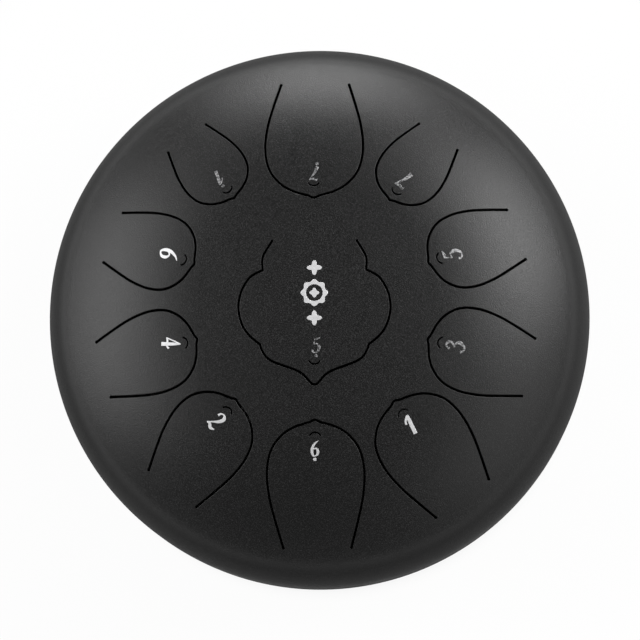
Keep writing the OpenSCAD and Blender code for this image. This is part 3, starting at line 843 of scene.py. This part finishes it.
def makeFeet():
    f = foot
    rounding, edge, wide = f["rounding"], f["recessEdge"], f["radius"] + f["flare"]
    profile = arc((f["radius"] - rounding, rounding), rounding, -90, 0, f["roundSteps"])
    profile += [
        (wide - f["flareSide"], f["height"] - f["flareDrop"]),
        (wide - f["flareEdge"], f["height"]),
        (f["bore"], f["height"]),
        (f["bore"], f["recessDepth"]),
        (f["recess"], f["recessDepth"]),
    ]
    profile += arc((f["recess"] + edge, edge), edge, 180, 270, f["recessSteps"])
    for name, angle in f["places"].items():
        place = Matrix.Rotation(radians(angle), 2) @ Vector((f["circle"], 0))
        bm = spun(profile, f["steps"], place)
        weighted(newPiece(name + ".rubber", bm, footRubber, "drum", [name]))


makeLowerShell()
makeWeld()
makeFeet()
for node in ("foot_screws", "foot_head_washers", "foot_inner_washers", "foot_nuts"):
    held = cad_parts[node]
    held.data.materials.clear()
    held.data.materials.append(plating)
print("base ready")

# white in the picture near the drum and light grey farther out, a painted pool of light; the glow goes out
# under the drum, a painted shade there; own is the share of its light that isn't the lamps'
floor = {
    "size": 40, "colour": 0.9, "roughness": 0.9, "specular": 0.1, "own": 0.95,
    "paintedShadeEnd": 38 * mm, "plainStart": 60 * mm,       # painted shade: the paper is dark under the drum's middle, where the sound hole shows it
    "shadeEnd": 84 * mm, "whiteStart": 131 * mm,
    "whiteEnd": 222 * mm, "greyStart": 480 * mm, "grey": 0.36,
}


def floorShade(p, nodes, links):
    place = nodes.new("ShaderNodeTexCoord")
    reach = lengthOf(nodes, links, place.outputs["Object"])
    # painted pool of light: the glow is none under the drum (painted shade), white round it and grey
    # farther out
    near = ranged(nodes, links, reach, 0, 1, p["shadeEnd"], p["whiteStart"], "SMOOTHSTEP")
    far = ranged(nodes, links, reach, 1, p["grey"], p["whiteEnd"], p["greyStart"], "SMOOTHSTEP")
    # painted shade: the paper's own colour goes dark under the drum's middle
    paperPaintedShade = ranged(nodes, links, reach, 0, p["colour"], p["paintedShadeEnd"], p["plainStart"])
    return maths(nodes, links, "MULTIPLY", near, far), paperPaintedShade


def floorMaterial(p):
    made, nodes, links, surface = newMaterial("floorPaper")
    white, paperPaintedShade = floorShade(p, nodes, links)
    links.new(paperPaintedShade, surface.inputs["Base Color"])
    surface.inputs["Roughness"].default_value = p["roughness"]
    surface.inputs["Specular IOR Level"].default_value = p["specular"]
    # the glow carries the painted pool of light and the painted shade under the drum
    glow = nodes.new("ShaderNodeEmission")
    links.new(white, glow.inputs["Strength"])
    path = nodes.new("ShaderNodeLightPath")
    seen = path.outputs["Is Camera Ray"]
    for other in ("Is Glossy Ray", "Is Transmission Ray"):
        seen = maths(nodes, links, "MAXIMUM", seen, path.outputs[other])
    blend = nodes.new("ShaderNodeMixShader")
    links.new(maths(nodes, links, "MULTIPLY", seen, p["own"]), blend.inputs[0])
    links.new(surface.outputs[0], blend.inputs[1])
    links.new(glow.outputs[0], blend.inputs[2])
    links.new(blend.outputs[0], nodes["Material Output"].inputs["Surface"])
    return made


def makeFloor(p):
    bm = bmesh.new()
    bmesh.ops.create_grid(bm, x_segments=1, y_segments=1, size=p["size"] / 2)
    mesh = bpy.data.meshes.new("floor")
    bm.to_mesh(mesh)
    bm.free()
    mesh.materials.append(floorMaterial(p))
    piece = bpy.data.objects.new("floor", mesh)
    scene.collection.objects.link(piece)


# azimuth from +X, elevation, distance and size in metres, strength
lamps = {
    "back": (91, 8, 2.4, 1.52, 0.78, 34),
    "right": (29, 28, 2.4, 1.78, 1.36, 52),
    "rightHigh": (19, 50, 2.4, 0.79, 0.89, 4),
    "rightLow": (-26, 27, 2.4, 2.0, 1.52, 9),
    "left": (171, 25, 2.4, 2.52, 1.61, 44),
    "leftHigh": (169, 52, 2.4, 1.07, 0.67, 3),
}


def makeLamps(table):
    for name, (azimuth, elevation, distance, wide, high, power) in table.items():
        data = bpy.data.lights.new(name, "AREA")
        data.shape, data.size, data.size_y, data.energy = "RECTANGLE", wide, high, power
        lamp = bpy.data.objects.new(name, data)
        a, e = radians(azimuth), radians(elevation)
        away = Vector((cos(a) * cos(e), sin(a) * cos(e), sin(e)))
        lamp.location = away * distance
        lamp.rotation_euler = away.to_track_quat("Z", "Y").to_euler()
        scene.collection.objects.link(lamp)


sky = {"colour": (1, 1, 1, 1), "strength": 0.27}


def makeSky(s):
    world = bpy.data.worlds.new("sky")
    world.use_nodes = True
    background = world.node_tree.nodes["Background"]
    background.inputs["Color"].default_value = s["colour"]
    background.inputs["Strength"].default_value = s["strength"]
    scene.world = world


makeFloor(floor)
makeLamps(lamps)
makeSky(sky)
scene.view_settings.view_transform = "Standard"
print("stage ready")
